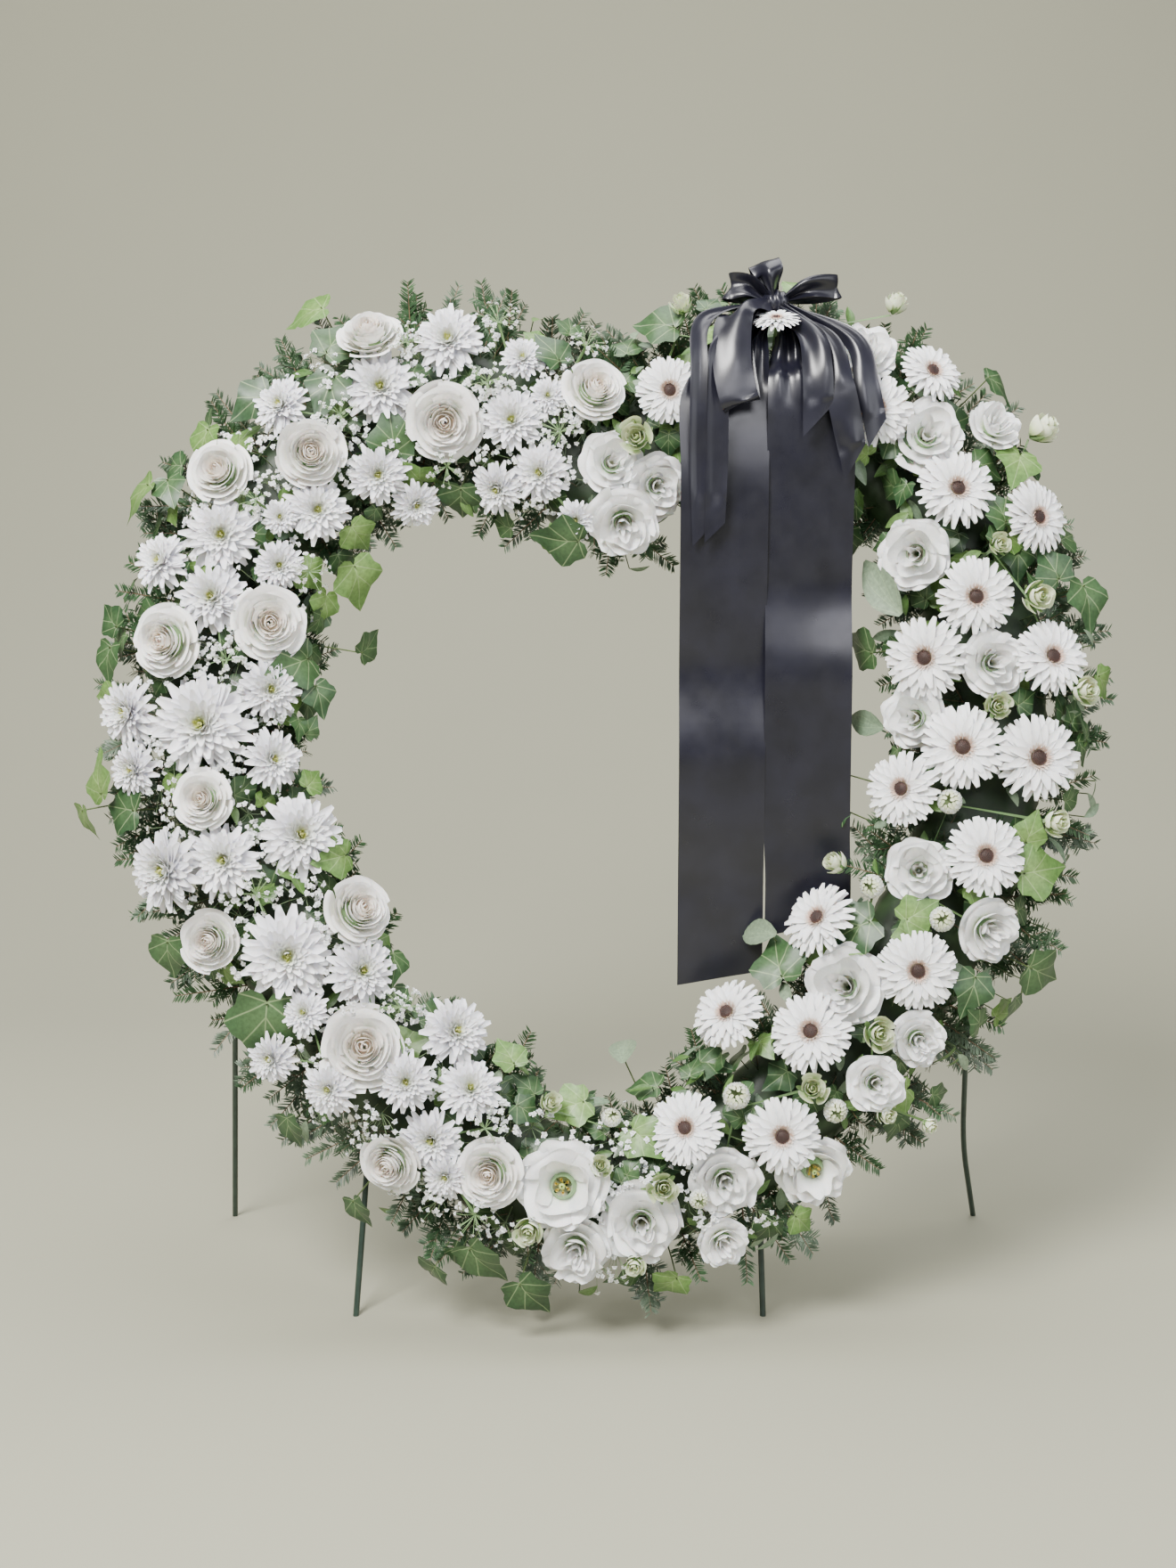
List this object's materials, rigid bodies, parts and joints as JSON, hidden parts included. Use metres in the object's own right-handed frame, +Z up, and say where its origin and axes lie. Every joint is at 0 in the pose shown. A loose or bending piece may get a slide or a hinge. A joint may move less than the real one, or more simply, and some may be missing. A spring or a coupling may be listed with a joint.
{
  "type": "heart-shaped memorial wreath on a stand",
  "caption": "Heart-shaped open funeral wreath of white flowers and evergreens with a black satin bow and tails, standing on four rod legs.",
  "frame": {"origin": "middle of the footprint's bounding box, on the floor under the feet", "axes": "+Z up, -Y out of the front with the flowers, +X to the right seen from the front"},
  "size_m": [1.178, 0.462, 1.1917],
  "materials": {
    "stand_rod": "dark green paint, satin",
    "tray_plastic": "matte dark green",
    "floral_foam": "matte, wet foam",
    "black_satin": "satin weave with soft grey sheen",
    "evergreens": "waxy leaves and needles",
    "rose_petals": "soft creamy white petals, peach heart",
    "gerbera_petals": "soft white petals round a dark brown eye",
    "chrysanthemum_petals": "soft white petals with a lilac cast",
    "lisianthus_petals": "soft ruffled white petals, lime buds"
  },
  "bodies": {
    "root": {"stand": "stand_rod", "tray": "tray_plastic", "foam_heart": "floral_foam", "ribbon_tail_left": "black_satin", "ribbon_tail_right": "black_satin", "ribbon_bow": "black_satin", "greens_1": "evergreens", "greens_2": "evergreens", "greens_3": "evergreens", "greens_4": "evergreens", "greens_5": "evergreens", "greens_6": "evergreens", "greens_7": "evergreens", "greens_8": "evergreens", "rose_01": "rose_petals", "rose_02": "rose_petals", "rose_03": "rose_petals", "rose_04": "rose_petals", "rose_05": "rose_petals", "rose_06": "rose_petals", "rose_07": "rose_petals", "rose_08": "rose_petals", "rose_09": "rose_petals", "rose_10": "rose_petals", "rose_11": "rose_petals", "rose_12": "rose_petals", "rose_13": "rose_petals", "gerbera_01": "gerbera_petals", "gerbera_02": "gerbera_petals", "gerbera_03": "gerbera_petals", "gerbera_04": "gerbera_petals", "gerbera_05": "gerbera_petals", "gerbera_06": "gerbera_petals", "gerbera_07": "gerbera_petals", "gerbera_08": "gerbera_petals", "gerbera_09": "gerbera_petals", "gerbera_10": "gerbera_petals", "gerbera_11": "gerbera_petals", "gerbera_12": "gerbera_petals", "gerbera_13": "gerbera_petals", "gerbera_14": "gerbera_petals", "gerbera_15": "gerbera_petals", "gerbera_16": "gerbera_petals", "gerbera_17": "gerbera_petals", "gerbera_18": "gerbera_petals", "gerbera_19": "gerbera_petals", "chrysanthemum_spray_1": "chrysanthemum_petals", "chrysanthemum_spray_2": "chrysanthemum_petals", "chrysanthemum_spray_3": "chrysanthemum_petals", "chrysanthemum_spray_4": "chrysanthemum_petals", "chrysanthemum_spray_5": "chrysanthemum_petals", "chrysanthemum_spray_6": "chrysanthemum_petals", "chrysanthemum_spray_7": "chrysanthemum_petals", "chrysanthemum_spray_8": "chrysanthemum_petals", "lisianthus_spray_1": "lisianthus_petals", "lisianthus_spray_2": "lisianthus_petals", "lisianthus_spray_3": "lisianthus_petals", "lisianthus_spray_4": "lisianthus_petals", "lisianthus_spray_5": "lisianthus_petals", "lisianthus_spray_6": "lisianthus_petals"}
  },
  "joints": []
}
